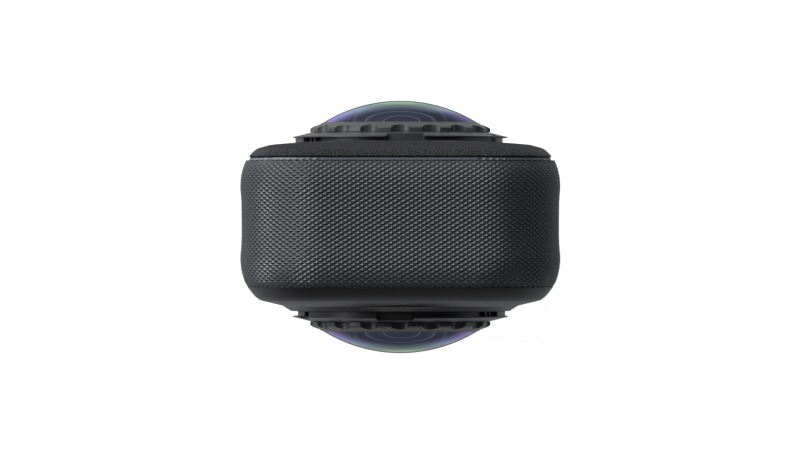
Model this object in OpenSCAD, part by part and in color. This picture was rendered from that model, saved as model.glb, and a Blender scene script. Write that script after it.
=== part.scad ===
// Pocket 360 degree camera: a tall rounded body with a dome lens on each broad side.
// +Z is up along the body, +X is across it and +Y is the front, grained side. The screen is on -Y.
// The origin is the mouth of the tripod thread, in the middle of the bottom.

/* [Body] */
// Width across the grip band
body_w = 46; // [44:0.5:50]
// Height from the base to the top
body_h = 114; // [112:1:122]
// Corner radius of the body seen from the front
corner_r = 12; // [11:0.5:13]
// Grip band's front edge, from the middle plane
band_front = 9.93; // [9.8:0.05:10.3]
// Grip band's rear edge, from the middle plane
band_rear = 8.6; // [8.4:0.05:8.8]
// How far the band falls in at its front edge
band_drop = 1.3; // [1.1:0.05:1.4]
// Thickness of the grip band
band_wall = 1.7; // [1.6:0.05:1.9]
// Thickness of the inner frame's ring
frame_wall = 1.2; // [1:0.05:1.4]

/* [Covers] */
// Rise of the front cover above the band
front_cover_h = 2.52; // [2.4:0.02:2.7]
// Crown radius across the front cover
crown_r = 250; // [230:5:300]
// Depth of the rear cover behind the band
rear_cover_h = 2.75; // [2.7:0.05:2.9]
// Raised rim round the rear lens, radius at its foot
plateau_r = 17.2; // [16.9:0.05:17.4]
// Height of that rim
plateau_h = 0.8; // [0.7:0.05:0.9]

/* [Lenses] */
// Height of the lens axis
lens_z = 91; // [90:0.5:92]
// Dome apex, from the middle plane
dome_top = 18.3; // [18.2:0.05:19]
// Outer radius of the dome's sphere
dome_sphere_r = 21.2; // [20.8:0.1:22]
// Radius of the dome's rim
dome_r = 11.2; // [11:0.05:11.3]
// Thickness of the dome
dome_t = 1; // [0.8:0.05:1.1]
// Outer radius of the twist ring
ring_r = 13.05; // [13:0.05:13.3]
// Number of finger notches round the twist ring
notches = 18; // [12:1:24]
// Depth of a finger notch
notch_depth = 0.9; // [0.6:0.05:1]
// Outer radius of the mount's lip
lip_r = 15.55; // [15.5:0.05:15.8]
// Radius of the mount's wall under the lip
mount_r = 14.85; // [14.7:0.05:15]

/* [Screen and buttons] */
// Width of the screen glass
glass_w = 36; // [34:0.5:36.5]
// Height of the screen glass
glass_h = 48; // [44:0.5:48.5]
// Radius of the shutter button
shutter_r = 4.6; // [4:0.1:5]
// Radius of the menu button
menu_r = 3.4; // [3:0.1:3.8]
// Length of a side button
side_button_l = 8; // [7:0.1:8.6]
// Width of a side button
side_button_w = 4.4; // [3.6:0.1:5]
// Travel of a button
button_travel = 0.4; // [0.3:0.02:0.4]

/* [Battery and doors] */
// Thickness of the battery
battery_t = 11.9; // [11.4:0.05:12]
// Height of the battery
battery_h = 46; // [44:0.5:46]
// Length of the battery, into the body
battery_l = 31.5; // [30:0.25:31.5]
// Height of the battery's side cover
cover_h = 61.6; // [61.4:0.1:61.8]
// Length of the port door
door_l = 20; // [19:0.25:21]
// Width of the port door
door_w = 13.6; // [13:0.1:14]

/* [Tripod thread] */
// Radius of the tripod thread
thread_r = 3.175; // [3:0.025:3.3]
// Depth of the tripod thread
thread_l = 6.5; // [6:0.1:7]

/* [Hidden] */
$fn = 96;
over = 0.5;

// Outline of the band: share of its width from the rear edge, and share of the drop at its front edge
band_profile_shares = [
    [0, 0.86], [0.016, 0.69], [0.04, 0.49], [0.086, 0.27], [0.133, 0.115], [0.18, 0.03], [0.216, 0],
    [0.25, 0.02], [0.296, 0.08], [0.343, 0.12], [0.39, 0.145], [0.49, 0.145], [0.646, 0.12],
    [0.693, 0.085], [0.761, 0], [0.81, 0.015], [0.856, 0.08], [0.903, 0.225], [0.926, 0.32],
    [0.949, 0.44], [0.966, 0.545], [0.978, 0.63], [0.98, 1.09], [1, 1.09]];
band_w = band_front + band_rear;
side_in = corner_r - band_wall;
side_x = body_w / 2 - corner_r;
inner_hw = body_w / 2 - band_wall - frame_wall;
frame_hw = body_w / 2 - band_wall;
frame_floor = band_wall + frame_wall;
frame_roof = body_h - frame_floor;

// Edges of the covers: share of the edge's width inwards, and share of the cover's height
front_edge_w = 8;
front_edge_shares = [
    [0.07, 0], [0.07, 0.055], [0, 0.065], [0.016, 0.14], [0.054, 0.27], [0.091, 0.377],
    [0.129, 0.472], [0.166, 0.532], [0.204, 0.571], [0.266, 0.627], [0.341, 0.69], [0.5, 0.82],
    [0.72, 0.94], [1, 1]];
rear_edge_w = 6;
rear_edge_shares = [
    [0, 0], [0.013, 0.047], [0.067, 0.204], [0.125, 0.364], [0.192, 0.52], [0.287, 0.676],
    [0.398, 0.749], [0.593, 0.847], [0.783, 0.949], [0.91, 1]];
front_skin = 0.42;
crown_steps = 12;
rear_skin = 1.45;
front_in = band_front + front_skin;
rear_face = -band_rear - rear_cover_h;
rear_in = rear_face + rear_skin;
plateau_top_r = 16;
plateau_step = 0.07;

// Seals between the frame and the covers
ledge_w = 0.8;
ledge_t = 0.4;
ledge_drop = 0.63;
seal_gap = 0.05;
seal_w = ledge_w - 2 * seal_gap;

// Lens mount and twist ring, from the middle plane outwards
mount_top = 13.65;
mount_base = 9;
mount_base_r = 17.5;
mount_base_t = front_in - mount_base;
mount_bore = 12;
mount_crest_r = 13.1;
lip_t = 0.23;
lip_top = 13.12;
lip_run = 0.35;
block_r = 15.2;
neck_r = 14;
gap_r = 14.2;
groove_floor = 11.9;
gap_floor = 11.8;
hole_gap = 0.1;
// Angles of the mount's features, from the top of the camera towards +X
block_from = -115;
block_to = -66.5;
groove_from = -65.5;
gap_from = -7.4;
gap_to = 10.2;
slit_to = 13.2;
recess_from = 62;
recess_to = 68;
blend = 1;
rib_angles = [-62.5, -58];
rib_span = 1.5;
rib_t = 0.2;
cover_hole_r = 15.3;
slit_deep = 1.4;
notch_back = 0.45;
lug_t = 1;
lug_y = 10.2;
lug_r = 12.7;
lug_gap = 0.15;
lug_span = 30;
lug_slack = 2;
twist_open = 40;
lugs = 3;
skirt_r = 11.93;
skirt_in = 10.95;
skirt_end = 10.15;
dome_seat = 13.6;
dome_gap = 0.05;
seat_r = 10;
seat_t = 0.6;
ring_foot = 13.72;
ring_wall_top = 14.2;
ring_top = 15.1;
cutter_r = 1.54;
cone_shares = [[0.03, 0.08], [0.14, 0.23], [0.28, 0.39], [0.5, 0.55], [0.71, 0.71], [0.94, 1]];

// Optics
barrel_r = 9.7;
barrel_wall = 0.8;
barrel_top = 13;
barrel_flange_t = 1.2;
sensor_board_y = 1;
sensor_board_t = 0.8;
sensor_board_w = 22;
sensor_w = 9;
sensor_t = 1.1;
element_gap = 0.05;
first_top = 16.9;
first_sphere_r = 12.1;
element_t = 1.6;
element_y = 10.4;
second_y = 6.4;
lens_seal_t = 1;
lens_seal_w = 1.4;
bulkhead_t = 2;
bulkhead_w = 16;
bulkhead_r = 14;

// Screws: radius of the shank and of the head, and height of the head
screw_r = 0.6;
head_r = 1.15;
head_h = 0.6;
flange_screw_r = 13.45;
screw_turn_share = 0.5;
flange_screw_l = 2.2;
flange_screws = 4;

// Layers from the screen inwards
glass_t = 1;
glass_r = 3;
glass_gap = 0.1;
panel_room = 0.4;
glass_z = 47;
glass_ledge = 1.5;
display_t = 1.4;
backing_t = 0.5;
shield_t = 1.2;
board_t = 0.8;
chip_t = 1.2;
spreader_t = 0.5;
web_t = 0.8;
display_y = rear_face + glass_t;
backing_y = display_y + display_t;
shield_y = backing_y + backing_t;
board_y = shield_y + shield_t;
chip_y = board_y + board_t;
spreader_y = chip_y + chip_t;
web_y = spreader_y + spreader_t;
bay_y = web_y + web_t;
board_w = 36;
board_h = 61.5;
board_z = 9.5;
board_r = 2;
board_edge = 3;
shield_w = 28;
shield_h = 30;
shield_z = 30;
processor_w = 12;
processor_z = 44;
memory_w = 8;
memory_pitch = 11;
spreader_w = 26;
spreader_h = 30;
spreader_z = 31;

// Battery bay
bay_gap = 0.15;
bay_wall = 0.8;
battery_z = 14;
battery_r = 2;
contact_t = 0.8;
contact_w = 12;
contact_z = 20;
battery_x = -inner_hw;
bay_end = battery_x + battery_l + bay_wall + lug_gap;
bay_front = bay_y + battery_t + 2 * bay_gap;
bay_low = battery_z - bay_gap;
bay_high = battery_z + battery_h + bay_gap;
lens_floor = 73.4;
cover_z = 12;
cover_rear = 7.4;
cover_front = 8.9;
cover_gap = 0.15;
cover_seal_t = 0.5;
cover_seal_w = 0.9;
cover_seal_in = 0.25;
plug_in = 0.35;
latch_w = 5;
latch_l = 9;
latch_t = 0.9;
latch_z = 16;
latch_travel = 2.2;
latch_y = 0.6;
latch_sink = 0.15;
latch_floor = 0.2;
latch_ribs = 3;

// Card
card_w = 11;
card_l = 15;
card_t = 0.8;
card_gap = 0.1;
socket_t = 1.6;
socket_w = 12;
socket_l = 14.6;
socket_z = bay_high + bay_wall + bay_gap;
socket_x = -18;
card_out = 1.4;

// Port and its door
hinge_z = 27;
pin_r = 0.45;
pin_gap = 0.05;
knuckle_r = 0.75;
knuckle_drop = 1.15;
pin_end = 0.7;
pin_l = door_w + 2 * pin_end;
door_y = 0.6;
door_in = 0.05;
hinge_in = knuckle_r + door_in;
door_gap = 0.15;
door_seal_t = 0.6;
door_seal_l = 13;
door_seal_w = 6;
seal_slack = 0.25;
port_w = 3.2;
port_h = 9;
port_l = 7.2;
port_wall = 0.3;
port_z = 37;
port_gap = 0.1;
usb_board_l = 6.8;
usb_board_h = 16;
usb_board_t = 0.8;
post_r = 1.1;
post_pitch = 11;

// Side buttons
power_z = 68;
quick_z = 58;
side_y = 0.6;
button_gap = 0.08;
flange_t = 0.55;
flange_w = 0.6;
flange_gap = 0.05;
cap_sink = 0.12;
switch_t = 1.25;
switch_w = 3.2;
switch_x = 17.8;
side_board_t = 0.8;
side_board_z = 54;
side_board_h = 19;
side_board_w = 8.4;

// Rear buttons
shutter_x = -6.5;
menu_x = 7;
rear_button_z = 14.6;
rear_button_out = 0.3;
rear_flange_t = 0.8;
rear_switch_t = board_y - rear_in - rear_flange_t - button_travel - 2 * flange_gap;

// Base
base_w = 24;
base_d = 15;
base_r = 4;
bush_r = 5;
bush_h = 8.5;
boss_wall = 1.2;
boss_h = 4;

// Sound
speaker_z = 78;
speaker_h = 12;
speaker_w = 11;
speaker_t = 4.4;
sound_r = 0.55;
sound_pitch = 1.9;
sound_rows = 3;
mic_w = 3.5;
mic_h = 2.7;
mic_t = 1;
mic_r = 0.45;
mic_zs = [86, 98];

// Lights and antenna
light_r = 0.9;
light_z = 66;
rear_light_z = 20.6;
antenna_t = 0.4;
antenna_w = 10;
antenna_l = 16;

// Flat cables
flex_t = 0.3;
flex_w = 5;
flex_gap = 0.6;
flex_turn = 77;
flex_step = 1.6;
flex_back = -5.7;
flex_end = 70.2;
display_flex_z = 22.4;
window_w = 14;

function band_section() = concat(
    [for (p = band_profile_shares) [corner_r - p[1] * band_drop, p[0] * band_w - band_rear]],
    [[side_in, band_front], [side_in, -band_rear]]);

// Sweeps a section round the body. Its x is the distance out from the corner centres, its y is the depth.
module round_body() {
    run_z = body_h / 2 - corner_r;
    translate([0, 0, body_h / 2]) rotate([-90, 0, 0]) {
        for (a = [0, 1], b = [0, 1]) mirror([a, 0, 0]) mirror([0, b, 0])
            translate([side_x, run_z, 0]) rotate_extrude(angle = 90) children();
        for (a = [0, 1]) mirror([a, 0, 0])
            translate([side_x, run_z, 0]) rotate([90, 0, 0]) linear_extrude(2 * run_z) children();
        for (b = [0, 1]) mirror([0, b, 0])
            translate([-side_x, run_z, 0]) rotate([90, 0, 90]) linear_extrude(2 * side_x) children();
    }
}

// A box from one corner to the opposite one
module block(low, high) {
    translate(low) cube(high - low);
}

// A round or rounded plate facing the front, between two depths
module plate(x, z, w, h, r, y0, y1) {
    translate([x, y0, z]) rotate([-90, 0, 0]) linear_extrude(y1 - y0) soft_square(w, h, r);
}

module soft_square(w, h, r) {
    square([w - 2 * r, h], center = true);
    square([w, h - 2 * r], center = true);
    for (a = [-1, 1], b = [-1, 1]) translate([a * (w / 2 - r), b * (h / 2 - r)]) circle(r);
}

module disc(x, z, r, y0, y1) {
    translate([x, y0, z]) rotate([-90, 0, 0]) cylinder(r = r, h = y1 - y0);
}

// A disc facing +X
module side_disc(y, z, r, x0, x1) {
    translate([x0, y, z]) rotate([0, 90, 0]) cylinder(r = r, h = x1 - x0);
}

// An upright slot-shaped prism facing +X
module side_slot(y, z, w, l, x0, x1) {
    translate([x0, y, z]) rotate([0, 90, 0]) linear_extrude(x1 - x0) {
        square([l - w, w], center = true);
        for (s = [-1, 1]) translate([s * (l - w) / 2, 0]) circle(w / 2);
    }
}

// The stretch of band on the +X side between two heights
module side_strip(z0, z1) {
    translate([side_x, 0, z0]) linear_extrude(z1 - z0) polygon(band_section());
}

// Holes through the band and the frame
module side_openings() {
    mirror([1, 0, 0]) block([frame_hw - over, -cover_rear - cover_gap, cover_z - cover_gap],
        [body_w / 2 + over, cover_front + cover_gap, cover_z + cover_h + cover_gap]);
    block([frame_hw - over, door_y - door_w / 2 - door_gap, hinge_z - knuckle_drop],
        [body_w / 2 + over, door_y + door_w / 2 + door_gap, hinge_z + door_l + door_gap]);
}

module button_holes() {
    for (z = [power_z, quick_z])
        side_slot(side_y, z, side_button_w + 2 * button_gap, side_button_l + 2 * button_gap,
            inner_hw - over, body_w / 2 + over);
}

module sound_holes() {
    for (i = [1:sound_rows], k = [1:sound_rows])
        translate([0, (i - (sound_rows + 1) / 2) * sound_pitch,
            speaker_z + speaker_h / 2 + (k - (sound_rows + 1) / 2) * sound_pitch])
            mirror([1, 0, 0]) side_disc(0, 0, sound_r, inner_hw - over, body_w / 2 + over);
    mic_holes();
}

module mic_holes() {
    for (i = [0, 1]) mirror([i, 0, 0])
        side_disc(side_y, mic_zs[i], mic_r, inner_hw - over, body_w / 2 + over);
}

module base_hole() {
    translate([0, 0, -over]) linear_extrude(band_wall + over) soft_square(base_w, base_d, base_r);
}

module centre_frame() color("dimgray") {
    difference() {
        union() {
            round_body() frame_section();
            block([-inner_hw, web_y, bay_low - bay_wall], [inner_hw, bay_y, lens_floor + bay_wall]);
            block([-inner_hw, bay_front, bay_low - bay_wall],
                [bay_end + bay_wall, bay_front + bay_wall, lens_floor]);
            for (z = [bay_low - bay_wall, bay_high])
                block([-inner_hw, bay_y, z], [bay_end + bay_wall, bay_front, z + bay_wall]);
            block([bay_end, bay_y, bay_low], [bay_end + bay_wall, bay_front, bay_high]);
            block([-inner_hw, ledge_drop - band_rear, lens_floor],
                [inner_hw, bay_front + bay_wall / 2, lens_floor + bay_wall]);
            translate([0, 0, frame_floor]) cylinder(r = bush_r + boss_wall, h = boss_h);
            board_places() disc(0, 0, post_r, chip_y, web_y);
            for (s = [-1, 1]) disc(bay_end + bay_wall + usb_board_l / 2, port_z + s * post_pitch / 2,
                post_r, bay_y, usb_board_y());
        }
        translate([0, 0, -over]) cylinder(r = bush_r, h = bush_h + over);
        mirror([1, 0, 0]) block([inner_hw - over, bay_y, bay_low], [frame_hw + over, bay_front, lens_floor]);
        block([frame_hw - door_seal_t - door_gap, door_y - door_seal_w / 2 - seal_slack,
            port_z - door_seal_l / 2 - seal_slack],
            [frame_hw + over, door_y + door_seal_w / 2 + seal_slack, port_z + door_seal_l / 2 + seal_slack]);
        side_slot(door_y, port_z, port_w + 2 * port_gap, port_h + 2 * port_gap,
            inner_hw - over, frame_hw + over);
        button_holes();
        sound_holes();
        block([-window_w / 2, flex_back - flex_w / 4, lens_floor - over],
            [window_w / 2, web_y - door_in, lens_floor + bay_wall + over]);
        board_places() disc(0, 0, screw_r, chip_y - over, web_y + web_t / 2);
    }
}

function usb_board_y() = door_y - port_w / 2 - usb_board_t;

module frame_section() {
    translate([side_in - frame_wall, -band_rear]) square([frame_wall, band_w]);
    for (y = [band_front - ledge_drop - ledge_t, ledge_drop - band_rear])
        translate([side_in - frame_wall - ledge_w, y]) square([ledge_w + over, ledge_t]);
}

module board_places() {
    for (x = [-1, 1], z = [board_z + board_edge, board_z + board_h - board_edge])
        translate([x * (board_w / 2 - board_edge), 0, z]) children();
}

module grip_band() color([0.3, 0.3, 0.31]) difference() {
    round_body() polygon(band_section());
    side_openings();
    button_holes();
    sound_holes();
    base_hole();
    door_pin();
}

module door_pin() {
    translate([frame_hw + hinge_in, door_y - pin_l / 2, hinge_z]) rotate([-90, 0, 0])
        cylinder(r = pin_r, h = pin_l);
}

// A cover's outer form, filled to the middle
module cover_form(foot, height, edge_w, shares, inset) {
    tip = corner_r - inset;
    round_body() polygon(concat(
        [[0, foot]],
        [for (p = shares) [tip - p[0] * edge_w, foot + p[1] * height]],
        [[0, foot + height]]));
    block([-side_x, min(foot, foot + height), corner_r],
        [side_x, max(foot, foot + height), body_h - corner_r]);
}

// The hollow under a cover, out to the frame's inner face
module cover_hollow(y0, y1) {
    plate(0, body_h / 2, 2 * inner_hw, body_h - 2 * frame_floor, corner_r - frame_floor,
        min(y0, y1), max(y0, y1));
}

// A point of the crown across the front cover
function crown_point(x) = [x, band_front + front_cover_h - crown_r + sqrt(crown_r * crown_r - x * x)];

module front_cover() color([0.12, 0.12, 0.13]) difference() {
    intersection() {
        cover_form(band_front, front_cover_h, front_edge_w, front_edge_shares, band_drop);
        linear_extrude(body_h) polygon(concat(
            [[body_w / 2, 0], [-body_w / 2, 0]],
            [for (i = [-crown_steps:crown_steps]) crown_point(i * body_w / 2 / crown_steps)]));
    }
    cover_hollow(band_front - over, front_in);
    disc(0, lens_z, cover_hole_r, band_front - over, band_front + front_cover_h + over);
    disc(0, light_z, light_r, band_front - over, band_front + front_cover_h + over);
}

module rear_cover() color([0.17, 0.17, 0.18]) difference() {
    union() {
        cover_form(-band_rear, -rear_cover_h, rear_edge_w, rear_edge_shares,
            band_drop * band_profile_shares[0][1]);
        translate([0, rear_face, lens_z]) rotate([90, 0, 0]) {
            cylinder(r1 = plateau_r, r2 = plateau_top_r, h = plateau_h - plateau_step);
            cylinder(r = plateau_top_r, h = plateau_h);
        }
    }
    cover_hollow(-band_rear + over, rear_in);
    disc(0, lens_z, mount_base_r + hole_gap, -mount_base - mount_base_t, -band_rear + over);
    disc(0, lens_z, cover_hole_r, rear_face - plateau_h - over, rear_in + over);
    plate(0, glass_z, glass_w + 2 * glass_gap, glass_h + 2 * glass_gap, glass_r + glass_gap,
        rear_face - over, display_y);
    plate(0, glass_z, glass_w - 2 * glass_ledge, glass_h - 2 * glass_ledge, glass_r,
        rear_face - over, rear_in + over);
    disc(shutter_x, rear_button_z, shutter_r + button_gap, rear_face - over, rear_in + over);
    disc(menu_x, rear_button_z, menu_r + button_gap, rear_face - over, rear_in + over);
    disc(0, rear_light_z, light_r, rear_face - over, rear_in + over);
}
module cover_seal(y0, y1) color([0.08, 0.08, 0.09])
    round_body() translate([side_in - frame_wall - ledge_w + seal_gap, min(y0, y1)])
        square([seal_w, abs(y1 - y0)]);

module front_cover_seal() cover_seal(band_front - ledge_drop, front_in);
module rear_cover_seal() cover_seal(ledge_drop - band_rear, rear_in);

// Turns a piece built round +Z, outwards, to the front lens or the rear one
module at_front() {
    translate([0, 0, lens_z]) rotate([-90, 0, 0]) children();
}

module at_rear() {
    translate([0, 0, lens_z]) rotate([0, 0, 180]) rotate([-90, 0, 0]) children();
}

// A sector of a ring, with angles from the top of the camera towards +X
module sector(r0, r1, z0, z1, a0, a1) {
    rotate(a0 - 90) rotate_extrude(angle = a1 - a0) translate([r0, z0]) square([r1 - r0, z1 - z0]);
}

module lens_mount() color([0.2, 0.2, 0.21]) {
    difference() {
        union() {
            rotate_extrude() polygon([
                [mount_bore, mount_base], [mount_base_r, mount_base],
                [mount_base_r, mount_base + mount_base_t], [mount_r, mount_base + mount_base_t],
                [mount_r, lip_top - lip_t], [lip_r, lip_top - lip_t],
                [lip_r, lip_top - lip_t / 4], [lip_r - lip_run, lip_top],
                [mount_crest_r, mount_top], [mount_bore, mount_top]]);
            sector(mount_r - over, block_r, mount_base + mount_base_t / 2, lip_top - lip_t / 2,
                block_from, block_to);
        }
        for (a = [0, 180]) {
            // groove for a clip-on guard, entry gap and slit
            sector(neck_r, lip_r + over, groove_floor, lip_top - lip_t, a + groove_from, a + gap_from + blend);
            sector(gap_r, lip_r + over, gap_floor, mount_top + over, a + gap_from, a + gap_to + blend);
            sector(gap_r, lip_r + over, groove_floor - slit_deep, mount_top + over, a + gap_to, a + slit_to);
            sector(mount_r - notch_back, lip_r + over, groove_floor, mount_top + over,
                a + recess_from, a + recess_to);
        }
        // the twist ring's bayonet: an inner groove and a way in for each lug
        translate([0, 0, lug_y - lug_gap])
            cylinder(r = lug_r + lug_gap, h = lug_t + 2 * lug_gap);
        for (i = [1:lugs])
            sector(mount_bore - over, lug_r + lug_gap / 2, lug_y + lug_t, mount_top + over,
                i * 360 / lugs + twist_open - lug_slack, i * 360 / lugs + twist_open + lug_span + lug_slack);
        screw_places() cylinder(r = screw_r, h = mount_base - lug_gap + flange_screw_l);
    }
    // small ribs in the groove's far end
    for (a = [0, 180], b = rib_angles)
        sector(neck_r - rib_t, mount_r - rib_t, groove_floor - rib_t, lip_top - lip_t / 2, a + b, a + b + rib_span);
}

module screw_places() {
    for (i = [1:flange_screws]) rotate((i + screw_turn_share) * 360 / flange_screws)
        translate([flange_screw_r, 0, 0]) children();
}

module front_lens_mount() at_front() lens_mount();
module rear_lens_mount() at_rear() lens_mount();

module lens_ring() color([0.22, 0.22, 0.23]) difference() {
    cone_w = ring_r - dome_r;
    cone_h = ring_top - ring_wall_top;
    union() {
        rotate_extrude() polygon(concat(
            [[dome_r + dome_gap, dome_seat], [dome_r + dome_gap, ring_top - dome_gap]],
            [for (i = [len(cone_shares) - 1:-1:0])
                [ring_r - cone_shares[i][0] * cone_w, ring_wall_top + cone_shares[i][1] * cone_h]],
            [[ring_r, ring_wall_top], [ring_r, ring_foot], [skirt_r, ring_foot], [skirt_r, skirt_end],
                [skirt_in, skirt_end], [skirt_in, dome_seat - seat_t], [seat_r, dome_seat - seat_t],
                [seat_r, dome_seat]]));
        for (i = [1:lugs])
            sector(skirt_r - dome_gap, lug_r, lug_y, lug_y + lug_t,
                i * 360 / lugs, i * 360 / lugs + lug_span);
    }
    for (i = [1:notches]) rotate(i * 360 / notches - 90)
        translate([ring_r - notch_depth + cutter_r, 0, ring_foot - dome_gap])
            cylinder(r = cutter_r, h = ring_top - ring_foot + over);
}

module front_lens_ring() at_front() lens_ring();
module rear_lens_ring() at_rear() lens_ring();

module dome() color([0.2, 0.24, 0.4, 0.6]) difference() {
    intersection() {
        translate([0, 0, dome_top - dome_sphere_r]) sphere(dome_sphere_r);
        translate([0, 0, dome_seat]) cylinder(r = dome_r, h = dome_top);
    }
    intersection() {
        translate([0, 0, dome_top - dome_sphere_r]) sphere(dome_sphere_r - dome_t);
        translate([0, 0, dome_seat - over]) cylinder(r = dome_r - dome_t, h = dome_top);
    }
}

module front_dome() at_front() dome();
module rear_dome() at_rear() dome();

module lens_seal() color([0.08, 0.08, 0.09]) translate([0, 0, mount_base]) difference() {
    cylinder(r = mount_bore - element_gap, h = lens_seal_t);
    translate([0, 0, -over]) cylinder(r = mount_bore - lens_seal_w, h = lens_seal_t + 2 * over);
}

module front_lens_seal() at_front() lens_seal();
module rear_lens_seal() at_rear() lens_seal();

module lens_barrel() color([0.1, 0.1, 0.1]) difference() {
    foot = sensor_board_y + sensor_board_t;
    union() {
        translate([0, 0, foot]) cylinder(r = barrel_r, h = barrel_top - foot);
        translate([0, 0, mount_base - barrel_flange_t])
            cylinder(r = mount_base_r - head_r, h = barrel_flange_t);
    }
    translate([0, 0, foot - over]) cylinder(r = barrel_r - barrel_wall, h = barrel_top);
    screw_places() cylinder(r = screw_r, h = mount_base + over);
}

module front_lens_barrel() at_front() lens_barrel();
module rear_lens_barrel() at_rear() lens_barrel();

// The first element rests on the barrel's rim and the others stand inside it
module lens_elements() color([0.3, 0.3, 0.5, 0.5]) {
    inner_r = barrel_r - barrel_wall - element_gap;
    intersection() {
        translate([0, 0, first_top - first_sphere_r]) sphere(first_sphere_r);
        translate([0, 0, barrel_top]) cylinder(r = barrel_r, h = first_top);
    }
    for (z = [element_y, second_y]) translate([0, 0, z]) cylinder(r = inner_r, h = element_t);
}

module front_lens_elements() at_front() lens_elements();
module rear_lens_elements() at_rear() lens_elements();

module mount_screws() color("silver") screw_places() {
    translate([0, 0, mount_base - barrel_flange_t - head_h]) cylinder(r = head_r, h = head_h);
    translate([0, 0, mount_base - barrel_flange_t]) cylinder(r = screw_r, h = flange_screw_l);
}

module front_mount_screws() at_front() mount_screws();
module rear_mount_screws() at_rear() mount_screws();

module image_sensor() color([0.15, 0.2, 0.3])
    translate([-sensor_w / 2, -sensor_w / 2, sensor_board_y + sensor_board_t])
        cube([sensor_w, sensor_w, sensor_t]);

module front_image_sensor() at_front() image_sensor();
module rear_image_sensor() at_rear() image_sensor();

module sensor_board() color("darkgreen")
    translate([0, 0, sensor_board_y]) linear_extrude(sensor_board_t)
        square([sensor_board_w, sensor_board_w], center = true);

module front_sensor_board() at_front() sensor_board();
module rear_sensor_board() at_rear() sensor_board();

module lens_bulkhead() color("silver") difference() {
    union() {
        block([-bulkhead_w / 2, -bulkhead_t / 2, lens_floor + bay_wall],
            [bulkhead_w / 2, bulkhead_t / 2, frame_roof]);
        disc(0, lens_z, bulkhead_r, -bulkhead_t / 2, bulkhead_t / 2);
    }
    block([-window_w / 2 + over, -bulkhead_t, lens_floor + bay_wall + flex_t],
        [window_w / 2 - over, bulkhead_t, flex_turn + 2 * flex_step]);
}

// A flat cable through points of depth and height, each stretch along Y or Z
module flex(x0, points) {
    for (i = [1:len(points) - 1]) {
        a = points[i - 1];
        b = points[i];
        block([x0, min(a[0], b[0]) - flex_t / 2, min(a[1], b[1]) - flex_t / 2],
            [x0 + flex_w, max(a[0], b[0]) + flex_t / 2, max(a[1], b[1]) + flex_t / 2]);
    }
}

module sensor_flexes() color("darkorange") {
    top = lens_z - sensor_board_w / 2 - flex_t / 2;
    mid = sensor_board_y + sensor_board_t / 2;
    end_y = chip_y + flex_t / 2;
    flex(-flex_w - flex_gap / 2, [[mid, top], [mid, flex_turn], [flex_back, flex_turn],
        [flex_back, flex_end], [end_y, flex_end]]);
    flex(flex_gap / 2, [[-mid, top], [-mid, flex_turn], [flex_back, flex_turn],
        [flex_back, flex_end], [end_y, flex_end]]);
}

module screen_glass() color([0.03, 0.03, 0.04])
    plate(0, glass_z, glass_w, glass_h, glass_r, rear_face, display_y);

module display_panel() color([0.1, 0.12, 0.2])
    plate(0, glass_z, panel_w(), glass_h - 2 * glass_ledge - 2 * glass_gap, glass_r, display_y, backing_y);

// The panel stays clear of the seal round the cover
function panel_w() = min(glass_w - 2 * glass_ledge - 2 * glass_gap, 2 * (inner_hw - ledge_w - panel_room));

module display_backing() color("silver")
    plate(0, glass_z, panel_w() + 2 * glass_gap, glass_h - 2 * glass_ledge, glass_r, backing_y, shield_y);

module display_flex() color("darkorange") {
    mid = backing_y - display_t / 2;
    top = glass_z - glass_h / 2 + glass_ledge + glass_gap - flex_t / 2;
    flex(-flex_w / 2, [[mid, top], [mid, display_flex_z], [board_y - flex_t / 2, display_flex_z]]);
}

module shield_can() color("silver")
    block([-shield_w / 2, shield_y, shield_z], [shield_w / 2, board_y, shield_z + shield_h]);

module main_board() color("darkgreen") difference() {
    plate(0, board_z + board_h / 2, board_w, board_h, board_r, board_y, chip_y);
    board_places() disc(0, 0, screw_r, board_y - over, chip_y + over);
}

module processor_chip() color([0.1, 0.1, 0.1])
    block([-processor_w / 2, chip_y, processor_z], [processor_w / 2, spreader_y, processor_z + processor_w]);

module memory_chips() color([0.1, 0.1, 0.1])
    for (s = [-1, 1]) translate([s * memory_pitch / 2, 0, 0])
        block([-memory_w / 2, chip_y, spreader_z], [memory_w / 2, spreader_y, spreader_z + memory_w]);

module heat_spreader() color("peru")
    block([-spreader_w / 2, spreader_y, spreader_z], [spreader_w / 2, web_y, spreader_z + spreader_h]);

module board_screws() color("silver") board_places() {
    disc(0, 0, head_r, board_y - head_h, board_y);
    disc(0, 0, screw_r, board_y, web_y);
}

module battery_pack() color([0.25, 0.25, 0.27]) difference() {
    translate([battery_x, bay_y + bay_gap + battery_t / 2, battery_z + battery_h / 2]) rotate([0, 90, 0])
        linear_extrude(battery_l) soft_square(battery_h, battery_t, battery_r);
}

module battery_cover() color([0.3, 0.3, 0.31]) mirror([1, 0, 0]) difference() {
    plug_gap = bay_gap + cover_gap;
    union() {
        intersection() {
            side_strip(cover_z, cover_z + cover_h);
            block([frame_hw - over, -cover_rear, cover_z],
                [body_w / 2 + over, cover_front, cover_z + cover_h]);
        }
        block([inner_hw, bay_y + plug_gap, bay_low + plug_gap], [frame_hw + over, bay_front - plug_gap,
            lens_floor - plug_gap]);
    }
    cover_seal_space();
    latch_space();
}

// The groove in the cover's rim for its seal
module cover_seal_space() {
    difference() {
        block([frame_hw - over, bay_y - cover_seal_w, bay_low - cover_seal_w],
            [frame_hw + cover_seal_t, cover_front - cover_seal_in, lens_floor]);
        block([frame_hw - 2 * over, bay_y + cover_gap, bay_low + cover_gap],
            [frame_hw + over + cover_seal_t, bay_front - plug_in, lens_floor - cover_seal_w]);
    }
}
module battery_cover_seal() color([0.08, 0.08, 0.09]) mirror([1, 0, 0]) difference() {
    cover_seal_space();
    block([frame_hw - 2 * over, -cover_rear, 0], [frame_hw + door_in, cover_front, body_h]);
}

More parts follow.
